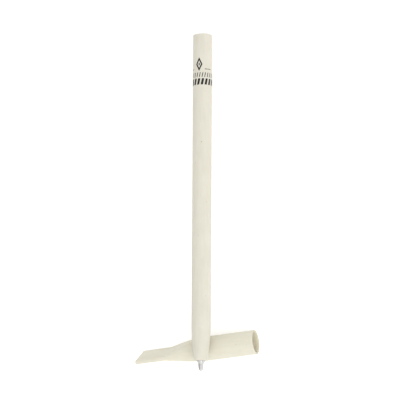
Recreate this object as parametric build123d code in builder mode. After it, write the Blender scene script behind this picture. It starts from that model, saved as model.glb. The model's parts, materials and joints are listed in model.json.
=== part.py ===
from build123d import *
from math import asin, cos, pi, radians, sin
import os

# A slim capped ballpoint pen of recycled carton board, lying with its cap pulled off.
#
# The barrel lies on the table on its rear end, and its nose rests across the cap, which lies beside
# the nib.  The origin is on the table, under the middle of the pair, with +Z up and +Y along the
# pen towards its rear end.  All sizes are in millimetres.
#
# Pen pieces are turned about the pen's axis: their profiles are drawn as (radius, distance from the
# writing point).  The cap is a length of tube whose rear end is pressed flat, drawn from its mouth.

# Barrel: a straight tube, drawn in round the refill at the nose
BARREL_RADIUS = 4.0
BARREL_WALL = 0.9
PEN_LENGTH = 142.4  # from the writing point to the square rear end
NOSE_FRONT = 4.2  # front edge of the barrel
NOSE_SHOULDER = 20.0  # where the straight tube begins
NOSE_RADIUS = 2.85  # behind the rounded lip
NOSE_LIP = 1.0
NOSE_BORE = 1.79
REAR_EDGE = 0.12  # break of the cut rear edge

# Tip: one turned metal piece with the ball in its socket
BALL_RADIUS = 0.5
BALL_CLEARANCE = 0.02
SOCKET_MOUTH = 0.18  # how far the ball stands out
SOCKET_RIM = 0.74
CONE_FRONT_RADIUS = 0.95
CONE_FRONT = 0.62
CONE_BACK_RADIUS = 1.16
CONE_BACK = 3.0
COLLAR_RADIUS = 1.72
COLLAR_FRONT = 4.0
COLLAR_BACK = 6.0
SPIGOT_BACK = 12.0
FEED_RADIUS = 0.25

# Refill tube and its ink
REFILL_RADIUS = 1.5
REFILL_BORE = 0.95
REFILL_BACK = 118.0
INK_BACK = 98.0

# Bush that centres the refill in the nose, and the plug in the rear end
BUSH_FRONT = 6.05
BUSH_FRONT_RADIUS = 2.15
BUSH_CONE_BACK = 17.0
BUSH_BACK = 21.0
BUSH_BORE = 1.55
PLUG_RECESS = 0.6
PLUG_DEPTH = 7.0
PLUG_VENT = 0.6

# Cap: a tube whose rear end is pressed flat
CAP_RADIUS = 5.05
CAP_WALL = 0.85
CAP_LENGTH = 50.9
CAP_TUBE = 23.0  # straight tube, from the mouth
CAP_PRESSED = 15.5  # stretch over which the tube goes flat
TAIL_THICKNESS = 1.6
TAIL_SLIT = 0.2  # gap left between the pressed walls
FOLD_OPENING = 0.3  # radius of the opening that stays inside each fold
PRESSED_STEPS = 8  # sections that shape the stretch between tube and tail
PRESSED_POWER = 1.3  # above 1, the tube goes flat slowly at first

# How the two lie
PEN_X = 4.6
PEN_REAR_Y = 70.8
PEN_TILT = 4.71  # degrees, nose up: it lies on the cap, a tenth of a millimetre clear
CAP_MOUTH_X = 25.2
CAP_MOUTH_Y = -59.4
CAP_HEADING = 4.6  # degrees from +X, seen from above
TAIL_ROLL = 67.5  # degrees from lying flat to standing on its fold

os.makedirs("parts", exist_ok=True)


def fold_spacing(fold_radius, wall):
    """How far apart the folds' centres are where the tube is pressed down to this fold radius.

    The wall keeps its length round the section while the section goes flat.
    """
    return pi * (CAP_RADIUS - CAP_WALL / 2) - pi * (fold_radius - wall / 2)


# The cap lies on the low point of its mouth and on the knee of its lower fold, where the flat
# tail begins.
tail_start = CAP_TUBE + CAP_PRESSED
tail_radius = TAIL_THICKNESS / 2
tail_spacing = fold_spacing(tail_radius, tail_radius)
roll = radians(TAIL_ROLL)
heading = radians(CAP_HEADING)
knee_height = tail_spacing / 2 * sin(roll) + tail_radius
dip = asin((knee_height - CAP_RADIUS) / tail_start)
cap_forward = Vector(cos(dip) * cos(heading), cos(dip) * sin(heading), -sin(dip))
cap_side = Vector(0, 0, 1).cross(cap_forward).normalized()
cap_up = cap_forward.cross(cap_side)
fold_to_fold = cap_side * cos(roll) - cap_up * sin(roll)
cap_mouth = Vector(CAP_MOUTH_X, CAP_MOUTH_Y, CAP_RADIUS * cos(dip))
cap_plane = Plane(origin=cap_mouth, x_dir=fold_to_fold, z_dir=-cap_forward)

# The pen lies on the edge of its rear end and on the cap.
tilt = radians(PEN_TILT)
backwards = Vector(0, cos(tilt), -sin(tilt))
writing_point = Vector(PEN_X, PEN_REAR_Y, BARREL_RADIUS * cos(tilt)) - backwards * PEN_LENGTH
pen_axis = Axis(writing_point, backwards)
pen_section = Plane(origin=writing_point, x_dir=(1, 0, 0), z_dir=Vector(1, 0, 0).cross(backwards))
ball_centre = writing_point + backwards * BALL_RADIUS


def turned(*corners):
    """A piece turned about the pen's axis from (radius, distance) corners."""
    with BuildPart() as piece:
        with BuildSketch(pen_section):
            with BuildLine():
                Polyline(*corners, close=True)
            make_face()
        revolve(axis=pen_axis)
    return piece


# Barrel: its nose is one long gentle curve, ending in a small rounded lip
tube_bore = BARREL_RADIUS - BARREL_WALL
shoulder = (BARREL_RADIUS, NOSE_SHOULDER)
lip_back = (NOSE_RADIUS, NOSE_FRONT + NOSE_LIP)
lip_front = (NOSE_RADIUS - NOSE_LIP, NOSE_FRONT)
with BuildPart() as barrel:
    with BuildSketch(pen_section):
        with BuildLine():
            nose = TangentArc(shoulder, lip_back, tangent=(0, -1))
            TangentArc(lip_back, lip_front, tangent=nose % 1)
            Polyline(
                lip_front,
                (NOSE_BORE, NOSE_FRONT),
                (NOSE_BORE, BUSH_FRONT),
                (BUSH_FRONT_RADIUS, BUSH_FRONT),
                (tube_bore, BUSH_CONE_BACK),
                (tube_bore, PEN_LENGTH),
                (BARREL_RADIUS - REAR_EDGE, PEN_LENGTH),
                (BARREL_RADIUS, PEN_LENGTH - REAR_EDGE),
                shoulder,
            )
        make_face()
    revolve(axis=pen_axis)
barrel.part.label = "barrel"
export_step(barrel.part, "parts/barrel.step")

# Nose bush: fills the drawn-in nose, and its front face stops the tip's collar
nose_bush = turned(
    (BUSH_BORE, BUSH_FRONT),
    (BUSH_FRONT_RADIUS, BUSH_FRONT),
    (tube_bore, BUSH_CONE_BACK),
    (tube_bore, BUSH_BACK),
    (BUSH_BORE, BUSH_BACK),
)
nose_bush.part.label = "nose_bush"
export_step(nose_bush.part, "parts/nose_bush.step")

# Rear plug: closes the tube just inside its cut end, with a vent hole
plug_back = PEN_LENGTH - PLUG_RECESS
rear_plug = turned(
    (PLUG_VENT, plug_back - PLUG_DEPTH),
    (tube_bore, plug_back - PLUG_DEPTH),
    (tube_bore, plug_back),
    (PLUG_VENT, plug_back),
)
rear_plug.part.label = "rear_plug"
export_step(rear_plug.part, "parts/rear_plug.step")

# Tip: a cone that ends at the ball's socket, a collar, and a spigot inside the refill tube
with BuildPart() as tip:
    with BuildSketch(pen_section):
        with BuildLine():
            Polyline(
                (FEED_RADIUS, SOCKET_MOUTH),
                (SOCKET_RIM, SOCKET_MOUTH),
                (CONE_FRONT_RADIUS, CONE_FRONT),
                (CONE_BACK_RADIUS, CONE_BACK),
                (COLLAR_RADIUS, COLLAR_FRONT),
                (COLLAR_RADIUS, COLLAR_BACK),
                (REFILL_BORE, COLLAR_BACK),
                (REFILL_BORE, SPIGOT_BACK),
                (FEED_RADIUS, SPIGOT_BACK),
                close=True,
            )
        make_face()
    revolve(axis=pen_axis)
    with Locations(ball_centre):
        Sphere(BALL_RADIUS + BALL_CLEARANCE, mode=Mode.SUBTRACT)
tip.part.label = "tip"
export_step(tip.part, "parts/tip.step")

# Ball
with BuildPart() as ball:
    with Locations(ball_centre):
        Sphere(BALL_RADIUS)
ball.part.label = "ball"
export_step(ball.part, "parts/ball.step")

# Refill tube, pushed over the tip's spigot, and the ink in it
refill_tube = turned(
    (REFILL_BORE, COLLAR_BACK),
    (REFILL_RADIUS, COLLAR_BACK),
    (REFILL_RADIUS, REFILL_BACK),
    (REFILL_BORE, REFILL_BACK),
)
refill_tube.part.label = "refill_tube"
export_step(refill_tube.part, "parts/refill_tube.step")

ink = turned((0, SPIGOT_BACK), (REFILL_BORE, SPIGOT_BACK), (REFILL_BORE, INK_BACK), (0, INK_BACK))
ink.part.label = "ink"
export_step(ink.part, "parts/ink.step")

# Cap: straight tube, the stretch that goes flat, and the flat tail
cap_bore = CAP_RADIUS - CAP_WALL
slit_radius = TAIL_SLIT / 2
slit_spacing = tail_spacing - (tail_radius - slit_radius)


def part_way(start, end, step):
    """A value on the way from start to end, at one of the sections of the pressed stretch."""
    flatness = (step / PRESSED_STEPS) ** PRESSED_POWER
    return start + (end - start) * flatness


with BuildPart() as cap:
    with BuildSketch(cap_plane):
        Circle(CAP_RADIUS)
    extrude(amount=CAP_TUBE)
    with BuildSketch(cap_plane.offset(CAP_TUBE)):
        Circle(CAP_RADIUS)
    for step in range(1, PRESSED_STEPS + 1):
        radius = part_way(CAP_RADIUS, tail_radius, step)
        wall = part_way(CAP_WALL, tail_radius, step)
        with BuildSketch(cap_plane.offset(CAP_TUBE + CAP_PRESSED * step / PRESSED_STEPS)):
            SlotCenterToCenter(fold_spacing(radius, wall), 2 * radius)
    loft(ruled=True)
    with BuildSketch(cap_plane.offset(tail_start)):
        SlotCenterToCenter(tail_spacing, TAIL_THICKNESS)
    extrude(amount=CAP_LENGTH - tail_start)
    with BuildSketch(cap_plane):
        Circle(cap_bore)
    extrude(amount=CAP_TUBE, mode=Mode.SUBTRACT)
    with BuildSketch(cap_plane.offset(CAP_TUBE)):
        Circle(cap_bore)
    for step in range(1, PRESSED_STEPS + 1):
        radius = part_way(cap_bore, slit_radius, step)
        spacing = part_way(0, slit_spacing, step)
        with BuildSketch(cap_plane.offset(CAP_TUBE + CAP_PRESSED * step / PRESSED_STEPS)):
            SlotCenterToCenter(spacing, 2 * radius)
    loft(ruled=True, mode=Mode.SUBTRACT)
    with BuildSketch(cap_plane.offset(tail_start)):
        SlotCenterToCenter(slit_spacing, TAIL_SLIT)
        with Locations((-tail_spacing / 2, 0), (tail_spacing / 2, 0)):
            Circle(FOLD_OPENING)
    extrude(amount=CAP_LENGTH - tail_start, mode=Mode.SUBTRACT)
cap.part.label = "cap"
export_step(cap.part, "parts/cap.step")

# Where the joints and mounts lie
print("gap between nose and cap", barrel.part.distance_to(cap.part))
print("pen axis, backwards", backwards)
print("writing point", writing_point, "ball centre", ball_centre)
straight_middle = (NOSE_SHOULDER + PEN_LENGTH - REAR_EDGE) / 2
print("middle of the straight barrel", writing_point + backwards * straight_middle)
print("cap forward", cap_forward, "middle of the cap's tube", cap_mouth - cap_forward * CAP_TUBE / 2)
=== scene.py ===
"""Looks for a slim ballpoint pen of recycled carton board and its pulled-off cap.

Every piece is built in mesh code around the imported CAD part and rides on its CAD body.  Lengths are
in millimetres until they are scaled into the frame, which is in metres.  A pen piece is turned about
the pen's axis: its outline is a list of (radius, distance from the writing point).
"""

import json
from math import ceil, cos, pi, radians, sin, sqrt

import bmesh
import bpy
from mathutils import Matrix, Vector


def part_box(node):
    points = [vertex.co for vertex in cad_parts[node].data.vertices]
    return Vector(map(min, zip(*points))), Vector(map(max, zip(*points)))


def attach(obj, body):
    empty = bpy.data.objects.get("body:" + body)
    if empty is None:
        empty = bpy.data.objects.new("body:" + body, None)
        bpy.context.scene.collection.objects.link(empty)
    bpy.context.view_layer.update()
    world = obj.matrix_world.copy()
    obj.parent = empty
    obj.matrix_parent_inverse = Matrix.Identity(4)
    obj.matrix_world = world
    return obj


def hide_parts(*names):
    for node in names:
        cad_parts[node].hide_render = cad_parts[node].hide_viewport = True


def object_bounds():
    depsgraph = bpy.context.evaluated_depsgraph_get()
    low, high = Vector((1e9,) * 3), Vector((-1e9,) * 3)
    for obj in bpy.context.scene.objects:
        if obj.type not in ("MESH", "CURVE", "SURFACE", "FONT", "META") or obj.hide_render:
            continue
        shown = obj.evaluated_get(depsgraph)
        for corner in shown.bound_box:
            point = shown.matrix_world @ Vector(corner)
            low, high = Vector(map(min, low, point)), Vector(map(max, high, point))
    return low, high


MM = 0.001
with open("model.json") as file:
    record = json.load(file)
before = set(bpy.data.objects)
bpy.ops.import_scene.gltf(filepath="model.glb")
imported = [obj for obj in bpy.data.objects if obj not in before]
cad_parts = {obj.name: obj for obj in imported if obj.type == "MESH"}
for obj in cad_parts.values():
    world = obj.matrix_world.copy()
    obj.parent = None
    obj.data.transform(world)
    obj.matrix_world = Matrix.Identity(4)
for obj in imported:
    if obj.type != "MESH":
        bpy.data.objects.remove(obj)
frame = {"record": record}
cad_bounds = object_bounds()
mounts = {mount["name"]: mount for mount in frame["record"]["mounts"]}

# Barrel
BARREL_WALL = 0.9
NOSE_FRONT = 4.2
NOSE_SHOULDER = 20.0
NOSE_RADIUS = 2.85
NOSE_LIP = 1.0
NOSE_BORE = 1.79
NOSE_CHAMFER = 0.35
REAR_EDGE = 0.12
REAR_BORE_EDGE = 0.08

# Tip, ball and refill
BALL_RADIUS = 0.5
SOCKET_RADIUS = 0.52
SOCKET_MOUTH = 0.18
COLLAR_RADIUS = 1.72
COLLAR_FRONT = 4.0
SOCKET_RIM = 0.74
CONE_FRONT_RADIUS = 0.95
CONE_FRONT = 0.62
CONE_BACK_RADIUS = 1.16
CONE_BACK = 3.0
COLLAR_BACK = 6.0
SPIGOT_BACK = 12.0
REFILL_RADIUS = 1.5
REFILL_BORE = 0.95
REFILL_BACK = 118.0
REFILL_EDGE = 0.10
INK_BACK = 98.0
INK_DOME = 0.45
INK_GAP = 0.01
FEED_RADIUS = 0.25
SOCKET_BACK = 0.95

# Bush and plug
BUSH_FRONT = 6.05
BUSH_FRONT_RADIUS = 2.15
BUSH_CONE_BACK = 17.0
BUSH_BACK = 21.0
BUSH_BORE = 1.55
PLUG_RECESS = 0.6
PLUG_DEPTH = 7.0
PLUG_VENT = 0.6
PLUG_DISH = (1.3, 1.5)  # radius at its floor and at its rim
PLUG_DISH_DEPTH = 0.35

# Cap
CAP_WALL = 0.85
CAP_LENGTH = 50.9
CAP_TUBE = 23.0
CAP_PRESSED = 15.5
PRESS_POWER = 1.3
TAIL_ROLL = 67.5
TAIL_WIDTH = 14.87
FOLD_RADIUS = 0.86
FOLD_BORE = 0.30
TAIL_HALF = 0.77
TAIL_GAP = 0.012
PINCH_FROM = 0.72  # how far pressed the walls are when they begin to meet between the folds
PINCH_BLEND = 1.9  # length over which the tail thickens towards each fold
MOUTH_EDGE = 0.14
TAIL_EDGE = 0.08
TAIL_EDGE_MIDDLE = 0.025
TAIL_BORE_EDGE = 0.05
SMALLEST_RADIUS = 1e-6  # below this, a ring of a turned outline is one point

# Print: how far it stands proud and reaches down, and the longest side of one of its faces.  Then
# each row as count, first bar, step, distance from the rear end, width, height and slant.
PRINT_LIFT = 0.012
PRINT_SINK = 0.02
PRINT_STEP = 0.15
FINE_ROW = (15, -7, 1.12, 16.7, 0.34, 1.95, 0.22)
BOLD_ROW = (11, -5, 1.62, 19.25, 0.98, 2.65, 0.26)
DASH_STEP = 0.62
DASH_REAR = 15.0
DASH_SIZE = (0.34, 0.42)
DASHES = ((1.2, 5), (-5.6, 3))  # where each run of dashes begins, and how many there are
LOZENGE_CENTRE = -1.45
LOZENGE_TOP = 10.2
LOZENGE_BOTTOM = 16.1
LOZENGE_REACH = 1.40
LOZENGE_LINE = 0.62
LOZENGE_POINT = 2.08  # thickness at its points, in line widths
LOZENGE_DOT = (0.5, 1.0)
FLECK = (-0.25, 46.2, 0.34, 0.36, 0.05)

# Colours, linear
BARREL_CREAM = (0.655, 0.632, 0.548)
CAP_CREAM = (0.680, 0.655, 0.552)
# The cap's inside is the same board as its outside, drawn lighter and yellower: painted light,
# standing in for light bouncing round inside the cap.
INSIDE_PAINTED_LIGHT_CREAM = (0.730, 0.690, 0.545)
FIBRE_BROWN = (0.47, 0.42, 0.32)
SPECK_BROWN = (0.30, 0.25, 0.18)

# Light
TENT_BRIGHT_SIDE = (0.80, -0.60, 0.0)
TENT_DIM = 1.065
TENT_BRIGHT = 1.085
LAMP_WATTS = 14.0
LAMP_SIZE = 1.8
LAMP_DISTANCE = 2.3
LAMP_RIGHT = 0.14  # of the distance, beside the camera
LAMP_UP = -0.3
LAMP_AIM = (0, 0, 8)
FLOOR_GLOW = 0.2
FLOOR_HALF = 1500
FLOOR_GAP = 0.02
PATCH_OUTSIDE = 23  # degrees from the middle of the dim patch
PATCH_INSIDE = 12
PATCH_BRIGHTNESS = 0.05

# Camera
CAMERA_AZIMUTH = 71.08
CAMERA_ELEVATION = 68.63
CAMERA_ROLL = -73.64
CAMERA_DISTANCE = 1920
CAMERA_AIM = (3.16, 0.96, 8.0)
VIEW_WIDTH = 166.8
SENSOR_WIDTH = 36.0


# ---------------------------------------------------------------- frame of the pen and of the cap

shank = mounts["barrel_shank"]
BARREL_RADIUS = shank["dims"]["r_mm"]
backwards = Vector(shank["axis"]).normalized()
ball_low, ball_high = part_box("ball")
ball_centre = (ball_low + ball_high) / 2
writing_point = ball_centre - backwards * BALL_RADIUS * MM
shank_back = Vector(shank["pos_m"]) + backwards * shank["dims"]["length_mm"] / 2 * MM
PEN_LENGTH = (shank_back - writing_point).dot(backwards) / MM + REAR_EDGE

mouth = mounts["cap_mouth"]
CAP_BORE = mouth["dims"]["r_mm"]
CAP_RADIUS = CAP_BORE + CAP_WALL
cap_forward = Vector(mouth["axis"]).normalized()
cap_origin = Vector(mouth["pos_m"]) + cap_forward * mouth["dims"]["length_mm"] / 2 * MM
cap_side = Vector((0, 0, 1)).cross(cap_forward).normalized()
cap_up = cap_forward.cross(cap_side)
roll = radians(TAIL_ROLL)
fold_to_fold = cap_side * cos(roll) - cap_up * sin(roll)
across_folds = fold_to_fold.cross(cap_forward)


def camera_axes():
    """Right, up and back of the camera."""
    azimuth, elevation, turn = (radians(v) for v in (CAMERA_AZIMUTH, CAMERA_ELEVATION, CAMERA_ROLL))
    back = Vector((sin(azimuth) * cos(elevation), -cos(azimuth) * cos(elevation), sin(elevation)))
    level = Vector((0, 0, 1)).cross(back).normalized()
    above = back.cross(level)
    return cos(turn) * level + sin(turn) * above, cos(turn) * above - sin(turn) * level, back


view_right, view_up, view_back = camera_axes()

# The print faces the camera: angles round the barrel are measured from there, towards the right.
print_front = (view_back - backwards * view_back.dot(backwards)).normalized()
print_side = backwards.cross(print_front)
if print_side.dot(view_right) < 0:
    print_side = -print_side


def on_pen(radius, distance, angle=0.0):
    """A point of the pen, in metres, from millimetres and an angle round the pen's axis."""
    outward = print_front * cos(angle) + print_side * sin(angle)
    return writing_point + (backwards * distance + outward * radius) * MM


def on_cap(across, up, distance):
    """A point of the cap, in metres, from millimetres in its section and from its mouth."""
    return cap_origin + (fold_to_fold * across + across_folds * up - cap_forward * distance) * MM


# ---------------------------------------------------------------- materials


WAVE_RATE = 20  # radians per unit of a wave texture at scale 1


class Shader:
    """A small helper that adds nodes to one material and links them."""

    def __init__(self, name):
        self.material = bpy.data.materials.new(name)
        self.material.use_nodes = True
        self.tree = self.material.node_tree
        self.surface = self.tree.nodes["Principled BSDF"]
        self.place = self.tree.nodes.new("ShaderNodeTexCoord").outputs["Object"]

    def node(self, kind, inputs=(), **settings):
        made = self.tree.nodes.new(kind)
        for key, value in settings.items():
            setattr(made, key, value)
        for key, value in dict(inputs).items():
            self.put(made.inputs[key], value)
        return made

    def put(self, socket, value):
        if isinstance(value, bpy.types.NodeSocket):
            self.tree.links.new(value, socket)
        else:
            socket.default_value = value

    def stretched(self, along, amount):
        """Object coordinates squeezed along a direction, so that a texture is drawn out along it."""
        turn = Vector((0, 1, 0)).rotation_difference(along).inverted().to_euler()
        turned_place = self.node("ShaderNodeMapping", {"Vector": self.place, "Rotation": turn})
        squeeze = {"Vector": turned_place.outputs[0], "Scale": (1, 1 / amount, 1)}
        return self.node("ShaderNodeMapping", squeeze).outputs[0]

    def noise(self, scale, detail, vector=None):
        inputs = {"Scale": scale, "Detail": detail, "Roughness": 0.55, "Vector": vector or self.place}
        return self.node("ShaderNodeTexNoise", inputs).outputs["Fac"]

    def ramp(self, value, stops):
        """Maps a value through (position, colour or grey) stops."""
        made = self.node("ShaderNodeValToRGB", {"Fac": value})
        elements = made.color_ramp.elements
        while len(elements) < len(stops):
            elements.new(0.5)
        for element, (position, colour) in zip(elements, stops):
            element.position = position
            element.color = (*colour, 1) if isinstance(colour, tuple) else (colour, colour, colour, 1)
        return made.outputs["Color"]

    def mix(self, amount, first, second):
        made = self.node("ShaderNodeMix", data_type="RGBA")
        self.put(made.inputs["Factor"], amount)
        for key, value in (("A", first), ("B", second)):
            socket = [s for s in made.inputs if s.name == key and s.type == "RGBA"][0]
            self.put(socket, (*value, 1) if isinstance(value, tuple) else value)
        return [s for s in made.outputs if s.type == "RGBA"][0]

    def multiply(self, first, second):
        made = self.node("ShaderNodeMix", data_type="RGBA", blend_type="MULTIPLY")
        factor, a, b = made.inputs[0], made.inputs[6], made.inputs[7]
        factor.default_value = 1.0
        self.put(a, first)
        self.put(b, second)
        return made.outputs[2]

    def maths(self, operation, first, second):
        made = self.node("ShaderNodeMath", operation=operation)
        self.put(made.inputs[0], first)
        self.put(made.inputs[1], second)
        return made.outputs[0]

    def bump(self, height, distance, normal=None):
        """A bump of a height in millimetres."""
        inputs = {"Height": height, "Distance": distance * MM, "Strength": 1.0}
        if normal:
            inputs["Normal"] = normal
        return self.node("ShaderNodeBump", inputs).outputs["Normal"]

    def finish(self, **values):
        for key, value in values.items():
            name = key.replace("_", " ").title().replace("Ior", "IOR")
            self.put(self.surface.inputs[name], value)
        return self.material


def carton(name, along, cream):
    """Dense board of recycled drink cartons: cream, cloudy, with fine fibres and a few flecks."""
    s = Shader(name)
    drawn = s.stretched(along, 9)
    clouds = s.ramp(s.noise(140, 4), [(0.30, (0.96, 0.955, 0.945)), (0.70, (1.0, 1.0, 1.0))])
    streaks = s.ramp(s.noise(900, 3, drawn), [(0.35, (0.972, 0.968, 0.960)), (0.62, (1.0, 1.0, 1.0))])
    tinted = s.multiply(s.multiply(clouds, streaks), (*cream, 1))
    fibre = s.ramp(s.noise(2600, 2, s.stretched(along, 5)), [(0.66, 0.0), (0.74, 1.0)])
    with_fibres = s.mix(s.maths("MULTIPLY", fibre, 0.18), tinted, FIBRE_BROWN)
    cells = s.node("ShaderNodeTexVoronoi", {"Vector": s.place, "Scale": 650.0, "Randomness": 1.0})
    chance = s.node("ShaderNodeSeparateColor", {"Color": cells.outputs["Color"]}).outputs[0]
    rare = s.maths("GREATER_THAN", chance, 0.93)
    spot = s.maths("LESS_THAN", cells.outputs["Distance"], 0.10)
    fleck = s.maths("MULTIPLY", s.maths("MULTIPLY", rare, spot), 0.55)
    colour = s.mix(fleck, with_fibres, SPECK_BROWN)
    rough = s.ramp(s.noise(420, 4, drawn), [(0.3, 0.50), (0.7, 0.64)])
    pulp = s.bump(s.noise(1800, 5), 0.020)
    lines = s.bump(s.noise(1500, 2, s.stretched(along, 40)), 0.012, normal=pulp)
    return s.finish(
        base_color=colour, roughness=rough, normal=lines, subsurface_weight=0.06,
        subsurface_radius=(0.0012, 0.0009, 0.0005), subsurface_scale=1.0, specular_ior_level=0.10,
    )


def cut_board(name):
    """The cut face of the board, darker and rougher."""
    s = Shader(name)
    grain = s.ramp(s.noise(5200, 4), [(0.3, (0.43, 0.39, 0.29)), (0.7, (0.55, 0.51, 0.40))])
    return s.finish(base_color=grain, roughness=0.8, normal=s.bump(s.noise(4200, 4), 0.04))


def turned_metal(name, colour, dark, ring, roughness):
    """Metal with the fine rings that turning leaves, and a slight haze."""
    s = Shader(name)
    scale = 2 * pi / (WAVE_RATE * ring * MM)
    rings = s.node("ShaderNodeTexWave", {"Vector": s.stretched(backwards, 1), "Scale": scale})
    rings.bands_direction = "Y"
    haze = s.noise(2500, 4)
    tone = s.mix(s.ramp(haze, [(0.35, 0.0), (0.75, 1.0)]), colour, dark)
    rough = s.ramp(s.noise(1400, 3), [(0.3, roughness * 0.8), (0.7, roughness * 1.3)])
    bump = s.bump(rings.outputs["Fac"], 0.002)
    return s.finish(base_color=tone, metallic=1.0, roughness=rough, normal=bump)


def moulded(name, colour, shade, roughness, **values):
    """Moulded or extruded plastic: faint flow marks, a fine skin and uneven gloss."""
    s = Shader(name)
    tone = s.mix(s.noise(500, 4, s.stretched(backwards, 6)), colour, shade)
    rough = s.ramp(s.noise(900, 3), [(0.3, roughness * 0.85), (0.7, roughness * 1.2)])
    skin = s.bump(s.noise(3800, 3), 0.008)
    return s.finish(base_color=tone, roughness=rough, normal=skin, **values)


carton_barrel = carton("carton_barrel", backwards, BARREL_CREAM)
carton_cap = carton("carton_cap", cap_forward, CAP_CREAM)
# Painted light: the cap's inner wall gets a lighter, yellower copy of its board.
carton_inside_painted_light = carton("carton_inside_painted_light", cap_forward, INSIDE_PAINTED_LIGHT_CREAM)
board_edge = cut_board("board_edge")
tip_metal = turned_metal("tip_metal", (0.60, 0.595, 0.58), (0.52, 0.515, 0.505), 0.10, 0.15)
ball_metal = turned_metal("ball_metal", (0.42, 0.42, 0.43), (0.34, 0.34, 0.35), 0.2, 0.10)
bush_plastic = moulded("bush_plastic", (0.70, 0.69, 0.64), (0.62, 0.61, 0.56), 0.45)
plug_plastic = moulded("plug_plastic", (0.66, 0.62, 0.50), (0.60, 0.56, 0.45), 0.50)
refill_plastic = moulded(
    "refill_plastic", (0.86, 0.87, 0.84), (0.80, 0.81, 0.78), 0.22, transmission_weight=0.75, ior=1.46
)
ink_paste = moulded("ink_paste", (0.010, 0.010, 0.014), (0.016, 0.016, 0.022), 0.25)
print_ink = moulded(
    "print_ink", (0.012, 0.011, 0.009), (0.026, 0.024, 0.020), 0.60, specular_ior_level=0.2
)
fleck_brown = moulded("fleck_brown", (0.36, 0.31, 0.23), SPECK_BROWN, 0.60, specular_ior_level=0.2)


# ---------------------------------------------------------------- mesh building


def build(name, points, faces, materials, body, node, sharp=32):
    """Makes a closed mesh object from points in metres, and says what it rides on and stands for.

    A face is its points' numbers and the number of its material.  All faces are turned outwards.
    """
    mesh = bpy.data.meshes.new(name)
    mesh.from_pydata([tuple(p) for p in points], [], [f[0] for f in faces])
    mesh.validate()
    for material in materials:
        mesh.materials.append(material)
    for polygon, (_, index) in zip(mesh.polygons, faces):
        polygon.material_index = index
        polygon.use_smooth = True
    mesh.set_sharp_from_angle(angle=radians(sharp))
    piece = bpy.data.objects.new(name, mesh)
    bpy.context.scene.collection.objects.link(piece)
    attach(piece, body)
    if node:
        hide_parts(node)
    work = bmesh.new()
    work.from_mesh(mesh)
    bmesh.ops.recalc_face_normals(work, faces=work.faces)
    work.to_mesh(mesh)
    work.free()


def rounded(corners, steps=5):
    """A closed outline with its corners rounded: corners are (x, y, radius)."""
    outline = []
    for i, (x, y, radius) in enumerate(corners):
        here = Vector((x, y))
        if not radius:
            outline.append((x, y))
            continue
        before = Vector(corners[i - 1][:2]) - here
        after = Vector(corners[(i + 1) % len(corners)][:2]) - here
        half = before.angle(after) / 2
        setback = radius / sin(half) * cos(half)
        start, end = here + before.normalized() * setback, here + after.normalized() * setback
        centre = here + (before.normalized() + after.normalized()).normalized() * radius / sin(half)
        first, last = start - centre, end - centre
        opening = first.angle(last)
        for k in range(steps + 1):
            turn = opening * k / steps
            way = (first * sin(opening - turn) + last * sin(turn)) / sin(opening)
            outline.append(tuple(centre + way))
    return outline


def turned(name, outline, segments, materials, body, node, cut=None):
    """Turns a closed outline about the pen's axis.

    cut says, from their distance from the writing point, which faces get the second material.
    """
    points, rings = [], []
    for radius, distance in outline:
        if radius < SMALLEST_RADIUS:
            rings.append([len(points)] * segments)
            points.append(on_pen(0, distance))
            continue
        rings.append(list(range(len(points), len(points) + segments)))
        points += [on_pen(radius, distance, 2 * pi * k / segments) for k in range(segments)]
    faces = []
    for i, ring in enumerate(rings):
        after = rings[(i + 1) % len(rings)]
        middle = (outline[i][1] + outline[(i + 1) % len(outline)][1]) / 2
        index = 1 if cut and cut(middle) else 0
        for k in range(segments):
            j = (k + 1) % segments
            corners = [ring[k], after[k], after[j], ring[j]]
            corners = [c for n, c in enumerate(corners) if c != corners[n - 1]]
            if len(corners) > 2:
                faces.append((corners, index))
    build(name, points, faces, materials, body, node)


# ---------------------------------------------------------------- pen


def make_barrel():
    """The tube, drawn in at the nose along one gentle curve, with a rounded lip."""
    run = NOSE_SHOULDER - NOSE_FRONT - NOSE_LIP
    drop = BARREL_RADIUS - NOSE_RADIUS
    curve = (run**2 + drop**2) / (2 * drop)
    curve_steps, lip_steps = 18, 6
    nose = []
    for k in range(curve_steps - 1, 0, -1):
        back = run * (1 - k / curve_steps)
        nose.append((BARREL_RADIUS - curve + sqrt(curve**2 - back**2), NOSE_SHOULDER - back))
    bore = BARREL_RADIUS - BARREL_WALL
    corners = [
        (NOSE_BORE, NOSE_FRONT + NOSE_CHAMFER, 0),
        (NOSE_BORE, BUSH_FRONT, 0),
        (BUSH_FRONT_RADIUS, BUSH_FRONT, 0),
        (bore, BUSH_CONE_BACK, 0),
        (bore, PEN_LENGTH, REAR_BORE_EDGE),
        (BARREL_RADIUS, PEN_LENGTH, REAR_EDGE),
        (BARREL_RADIUS, NOSE_SHOULDER, 0),
    ]
    outline = rounded(corners) + nose
    lip_radius, lip_distance = NOSE_RADIUS - NOSE_LIP, NOSE_FRONT + NOSE_LIP
    for k in range(lip_steps + 1):
        angle = k / lip_steps * pi / 2
        outline.append((lip_radius + NOSE_LIP * cos(angle), lip_distance - NOSE_LIP * sin(angle)))

    def is_cut(distance):
        return distance > PEN_LENGTH - 0.03

    turned("barrel_tube", outline, 128, [carton_barrel, board_edge], "pen", "barrel", is_cut)


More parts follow.
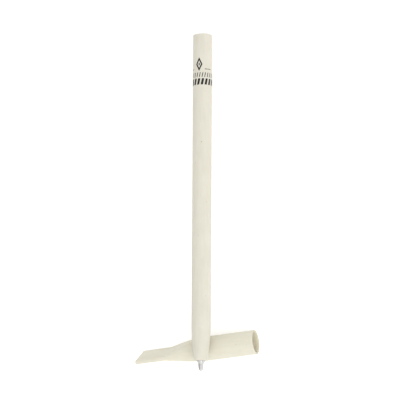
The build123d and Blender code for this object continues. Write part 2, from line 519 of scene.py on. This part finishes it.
def make_tip():
    """The turned metal tip: socket, rolled rim, fine front, cone, flare, collar and spigot."""
    corners = [
        (FEED_RADIUS, SOCKET_BACK, 0),
        (FEED_RADIUS, SPIGOT_BACK, 0),
        (REFILL_BORE, SPIGOT_BACK, 0.1),
        (REFILL_BORE, COLLAR_BACK, 0),
        (COLLAR_RADIUS, COLLAR_BACK, 0.08),
        (COLLAR_RADIUS, COLLAR_FRONT, 0.10),
        (CONE_BACK_RADIUS, CONE_BACK, 0.12),
        (CONE_FRONT_RADIUS, CONE_FRONT, 0.10),
        (SOCKET_RIM, SOCKET_MOUTH, 0.05),
    ]
    outline = rounded(corners)
    steps = 9
    for k in range(steps):
        depth = SOCKET_MOUTH + (SOCKET_BACK - SOCKET_MOUTH) * k / steps
        outline.append((sqrt(SOCKET_RADIUS**2 - (depth - BALL_RADIUS) ** 2), depth))
    turned("tip_turned", outline, 96, [tip_metal], "refill", "tip")


def make_ball():
    """The ball, from pole to pole along the pen's axis."""
    steps = 24
    outline = []
    for k in range(steps + 1):
        angle = pi * k / steps
        radius = BALL_RADIUS * sin(angle) if 0 < k < steps else 0
        outline.append((radius, BALL_RADIUS * (1 - cos(angle))))
    turned("writing_ball", outline, 48, [ball_metal], "ball", "ball")


def make_refill():
    """The refill's tube, and the ink with its hollow rear face."""
    tube = rounded([
        (REFILL_BORE, COLLAR_BACK, 0),
        (REFILL_RADIUS, COLLAR_BACK, 0.06),
        (REFILL_RADIUS, REFILL_BACK, REFILL_EDGE),
        (REFILL_BORE, REFILL_BACK, REFILL_EDGE),
    ])
    turned("refill_sleeve", tube, 64, [refill_plastic], "refill", "refill_tube")
    radius = REFILL_BORE - INK_GAP
    front = SPIGOT_BACK + 2 * INK_GAP
    ink = [(0, front), (radius, front)]
    steps = 8
    for k in range(steps):
        angle = k / steps * pi / 2
        ink.append((radius * cos(angle), INK_BACK - INK_DOME * sin(angle)))
    ink.append((0, INK_BACK - INK_DOME))
    turned("ink_column", ink, 48, [ink_paste], "refill", "ink")


def make_bush_and_plug():
    """The ring that centres the refill, and the plug with a small dish round its vent."""
    bore = BARREL_RADIUS - BARREL_WALL
    bush = rounded([
        (BUSH_BORE, BUSH_FRONT, 0.1),
        (BUSH_FRONT_RADIUS, BUSH_FRONT, 0),
        (bore, BUSH_CONE_BACK, 0),
        (bore, BUSH_BACK, 0.15),
        (BUSH_BORE, BUSH_BACK, 0.25),
    ])
    turned("nose_bush_ring", bush, 64, [bush_plastic], "pen", "nose_bush")
    back = PEN_LENGTH - PLUG_RECESS
    plug = rounded([
        (PLUG_VENT, back - PLUG_DEPTH, 0),
        (bore, back - PLUG_DEPTH, 0.3),
        (bore, back, 0.15),
        (PLUG_DISH[1], back, 0.2),
        (PLUG_DISH[0], back - PLUG_DISH_DEPTH, 0.1),
        (PLUG_VENT, back - PLUG_DISH_DEPTH, 0.1),
    ])
    turned("rear_plug_moulding", plug, 96, [plug_plastic], "pen", "rear_plug")


# ---------------------------------------------------------------- print: bars and a lozenge


def printed(name, quads, ink):
    """Thin ink patches that lie on the barrel.  A quad is four (round, from the rear) corners."""
    points, faces = [], []
    for quad in quads:
        corners = [Vector(corner) for corner in quad]
        across, along = (
            max(1, ceil(max(abs((b - a).x), abs((d - c).x)) / PRINT_STEP))
            for a, b, c, d in (corners, (corners[0], corners[3], corners[1], corners[2]))
        )
        grid = {}
        for layer, radius in enumerate((BARREL_RADIUS - PRINT_SINK, BARREL_RADIUS + PRINT_LIFT)):
            for i in range(across + 1):
                for j in range(along + 1):
                    near = corners[0].lerp(corners[1], i / across)
                    far = corners[3].lerp(corners[2], i / across)
                    around, rear = near.lerp(far, j / along)
                    grid[layer, i, j] = len(points)
                    points.append(on_pen(radius, PEN_LENGTH - rear, around / BARREL_RADIUS))
        cells = [(i, j) for i in range(across) for j in range(along)]
        for layer in (0, 1):
            for i, j in cells:
                ring = ((i, j), (i + 1, j), (i + 1, j + 1), (i, j + 1))
                faces.append(([grid[layer, p, q] for p, q in ring], 0))
        walls = [((i, j), (i + 1, j)) for i in range(across) for j in (0, along)]
        walls += [((i, j), (i, j + 1)) for j in range(along) for i in (0, across)]
        for first, second in walls:
            wall = [grid[0, *first], grid[0, *second], grid[1, *second], grid[1, *first]]
            faces.append((wall, 0))
    build(name, points, faces, [ink], "pen", None)


def bar(around, rear, width, height, slant=0.0):
    """The corners of a slanted bar, from the middle of its rear edge."""
    return [
        (around - width / 2 + slant, rear),
        (around + width / 2 + slant, rear),
        (around + width / 2 - slant, rear + height),
        (around - width / 2 - slant, rear + height),
    ]


def make_print():
    """A row of fine slanted strokes over one of bold blocks, with a lozenge above them."""
    quads = []
    for count, first, step, *size in (FINE_ROW, BOLD_ROW):
        quads += [bar((first + k) * step, *size) for k in range(count)]
    for start, count in DASHES:
        quads += [bar(start + k * DASH_STEP, DASH_REAR, *DASH_SIZE) for k in range(count)]
    middle = (LOZENGE_TOP + LOZENGE_BOTTOM) / 2
    point = LOZENGE_LINE * LOZENGE_POINT
    for side in (-1, 1):
        outer = (LOZENGE_CENTRE + side * LOZENGE_REACH, middle)
        inner = (LOZENGE_CENTRE + side * (LOZENGE_REACH - LOZENGE_LINE), middle)
        for end, inwards in ((LOZENGE_TOP, point), (LOZENGE_BOTTOM, -point)):
            quads.append([(LOZENGE_CENTRE, end), (LOZENGE_CENTRE, end + inwards), inner, outer])
    width, height = LOZENGE_DOT
    quads.append(bar(LOZENGE_CENTRE, middle - height / 2, width, height))
    printed("print_pattern", quads, print_ink)
    printed("board_fleck", [bar(*FLECK)], fleck_brown)


# ---------------------------------------------------------------- cap


def between(first, second, amount):
    return first + (second - first) * amount


def ease(value):
    """0 to 1, with a smooth start and end."""
    value = min(1, max(0, value))
    return value * value * (3 - 2 * value)


def cap_section(distance, around, shrink, inside):
    """A point of the cap's wall.

    The section is a slot that goes from round to flat.  around runs 0 to 1 along it, from the middle
    of the upper flat side.  shrink draws the surface into the wall, at the rounded ends.
    """
    pressed = min(1, max(0, (distance - CAP_TUBE) / CAP_PRESSED)) ** PRESS_POWER
    if inside:
        radius = between(CAP_BORE, FOLD_BORE, pressed) + shrink
        pinched = TAIL_GAP / FOLD_BORE
    else:
        radius = between(CAP_RADIUS, FOLD_RADIUS, pressed) - shrink
        pinched = TAIL_HALF / FOLD_RADIUS
    spacing = (TAIL_WIDTH - 2 * FOLD_RADIUS) * pressed
    length = 2 * spacing + 2 * pi * radius
    run = around * length
    if run <= spacing / 2:
        x, y = run, radius
    elif run <= spacing / 2 + pi * radius:
        angle = (run - spacing / 2) / radius
        x, y = spacing / 2 + radius * sin(angle), radius * cos(angle)
    elif run <= 1.5 * spacing + pi * radius:
        x, y = spacing / 2 - (run - spacing / 2 - pi * radius), -radius
    elif run <= 1.5 * spacing + 2 * pi * radius:
        angle = (run - 1.5 * spacing - pi * radius) / radius
        x, y = -spacing / 2 - radius * sin(angle), -radius * cos(angle)
    else:
        x, y = run - length, radius
    middle = 1 - ease((abs(x) - (spacing / 2 - PINCH_BLEND)) / PINCH_BLEND)
    y *= between(1, pinched, middle * ease((pressed - PINCH_FROM) / (1 - PINCH_FROM)))
    return on_cap(x, y, distance)


def make_cap():
    """A tube whose rear end is pressed flat, with a small opening left inside each fold."""
    count = 176
    tube_step, tube_steps, pressed_steps, tail_steps = 1.5, 15, 40, 14
    tail_start = CAP_TUBE + CAP_PRESSED
    tail = CAP_LENGTH - tail_start
    mouth_middle = MOUTH_EDGE * 0.3
    stations = [(0.0, MOUTH_EDGE), (mouth_middle, mouth_middle), (MOUTH_EDGE, 0.0)]
    stations += [(1.0 + tube_step * k, 0.0) for k in range(tube_steps)]
    stations += [(CAP_TUBE + CAP_PRESSED * k / pressed_steps, 0.0) for k in range(pressed_steps + 1)]
    stations += [(tail_start + tail * k / tail_steps, 0.0) for k in range(1, tail_steps)]
    stations += [
        (CAP_LENGTH - TAIL_EDGE, 0.0),
        (CAP_LENGTH - TAIL_EDGE_MIDDLE, TAIL_EDGE_MIDDLE),
        (CAP_LENGTH, TAIL_EDGE),
    ]
    outside = [(distance, shrink, False) for distance, shrink in stations]
    inside = []
    for distance, shrink in reversed(stations):
        most = TAIL_BORE_EDGE if distance > tail_start else MOUTH_EDGE
        inside.append((distance, min(shrink, most), True))
    loop = outside + inside
    points, faces = [], []
    for distance, shrink, inner in loop:
        points += [cap_section(distance, k / count, shrink, inner) for k in range(count)]
    for i in range(len(loop)):
        after = (i + 1) % len(loop)
        ends = i == len(outside) - 1 or i == len(loop) - 1
        surface = 1 if ends else 2 if i >= len(outside) else 0
        for k in range(count):
            j = (k + 1) % count
            face = [i * count + k, after * count + k, after * count + j, i * count + j]
            faces.append((face, surface))
    # The inner wall takes the lighter, yellower copy of the board: painted light inside the cap.
    surfaces = [carton_cap, board_edge, carton_inside_painted_light]
    build("cap_shell", points, faces, surfaces, "cap", "cap", sharp=40)


make_barrel()
make_tip()
make_ball()
make_refill()
make_bush_and_plug()
make_print()
make_cap()


# ---------------------------------------------------------------- floor, light and camera


def make_floor():
    """White paper with a weak glow of its own, so that it comes out white round the pieces."""
    s = Shader("floor_paper")
    tone = s.ramp(s.noise(6, 3), [(0.3, (0.93, 0.93, 0.93)), (0.7, (0.95, 0.95, 0.95))])
    paper = s.finish(
        base_color=tone, roughness=0.85, normal=s.bump(s.noise(900, 3), 0.01),
        emission_color=(1.0, 1.0, 1.0, 1.0), emission_strength=FLOOR_GLOW,
    )
    half, level = FLOOR_HALF * MM, cad_bounds[0].z - FLOOR_GAP * MM
    corners = [(-half, -half, level), (half, -half, level), (half, half, level), (-half, half, level)]
    mesh = bpy.data.meshes.new("floor")
    mesh.from_pydata(corners, [], [(0, 1, 2, 3)])
    mesh.materials.append(paper)
    floor = bpy.data.objects.new("floor", mesh)
    bpy.context.scene.collection.objects.link(floor)


def make_lamp():
    """One large, weak, round lamp beside the camera."""
    data = bpy.data.lights.new("key", "AREA")
    data.shape = "DISK"
    data.size = LAMP_SIZE
    data.energy = LAMP_WATTS
    light = bpy.data.objects.new("key", data)
    place = (view_right * LAMP_RIGHT + view_up * LAMP_UP + view_back) * LAMP_DISTANCE
    light.location = place
    light.rotation_mode = "QUATERNION"
    light.rotation_quaternion = (Vector(LAMP_AIM) * MM - place).to_track_quat("-Z", "Y")
    bpy.context.scene.collection.objects.link(light)


def make_tent():
    """An even white tent, a shade brighter on one side, with one dim patch on the pen's left."""
    world = bpy.data.worlds.new("studio")
    world.use_nodes = True
    tree = world.node_tree
    place = tree.nodes.new("ShaderNodeTexCoord").outputs["Generated"]
    across = tree.nodes.new("ShaderNodeVectorMath")
    across.operation = "DOT_PRODUCT"
    tree.links.new(place, across.inputs[0])
    across.inputs[1].default_value = TENT_BRIGHT_SIDE
    wide = tree.nodes.new("ShaderNodeMapRange")
    tree.links.new(across.outputs["Value"], wide.inputs["Value"])
    wide.inputs["From Min"].default_value = -1.0
    wide.inputs["From Max"].default_value = 1.0
    wide.inputs["To Min"].default_value = TENT_DIM
    wide.inputs["To Max"].default_value = TENT_BRIGHT
    near = tree.nodes.new("ShaderNodeVectorMath")
    near.operation = "DOT_PRODUCT"
    tree.links.new(place, near.inputs[0])
    near.inputs[1].default_value = -view_right
    patch = tree.nodes.new("ShaderNodeMapRange")
    patch.interpolation_type = "SMOOTHSTEP"
    tree.links.new(near.outputs["Value"], patch.inputs["Value"])
    patch.inputs["From Min"].default_value = cos(radians(PATCH_OUTSIDE))
    patch.inputs["From Max"].default_value = cos(radians(PATCH_INSIDE))
    patch.inputs["To Min"].default_value = 1.0
    patch.inputs["To Max"].default_value = PATCH_BRIGHTNESS
    strength = tree.nodes.new("ShaderNodeMath")
    strength.operation = "MULTIPLY"
    tree.links.new(wide.outputs["Result"], strength.inputs[0])
    tree.links.new(patch.outputs["Result"], strength.inputs[1])
    background = tree.nodes["Background"]
    background.inputs["Color"].default_value = (1.0, 1.0, 1.0, 1)
    tree.links.new(strength.outputs["Value"], background.inputs["Strength"])
    bpy.context.scene.world = world
    bpy.context.scene.view_settings.view_transform = "Standard"


def make_camera():
    data = bpy.data.cameras.new("camera")
    data.sensor_width = SENSOR_WIDTH
    data.lens = SENSOR_WIDTH * CAMERA_DISTANCE / VIEW_WIDTH
    data.clip_start, data.clip_end = 0.1, 10
    camera = bpy.data.objects.new("camera", data)
    turn = Matrix((view_right, view_up, view_back)).transposed()
    aim = Vector(CAMERA_AIM) * MM
    camera.matrix_world = Matrix.Translation(aim + view_back * CAMERA_DISTANCE * MM) @ turn.to_4x4()
    bpy.context.scene.collection.objects.link(camera)
    bpy.context.scene.camera = camera


make_floor()
make_tent()
make_lamp()
make_camera()
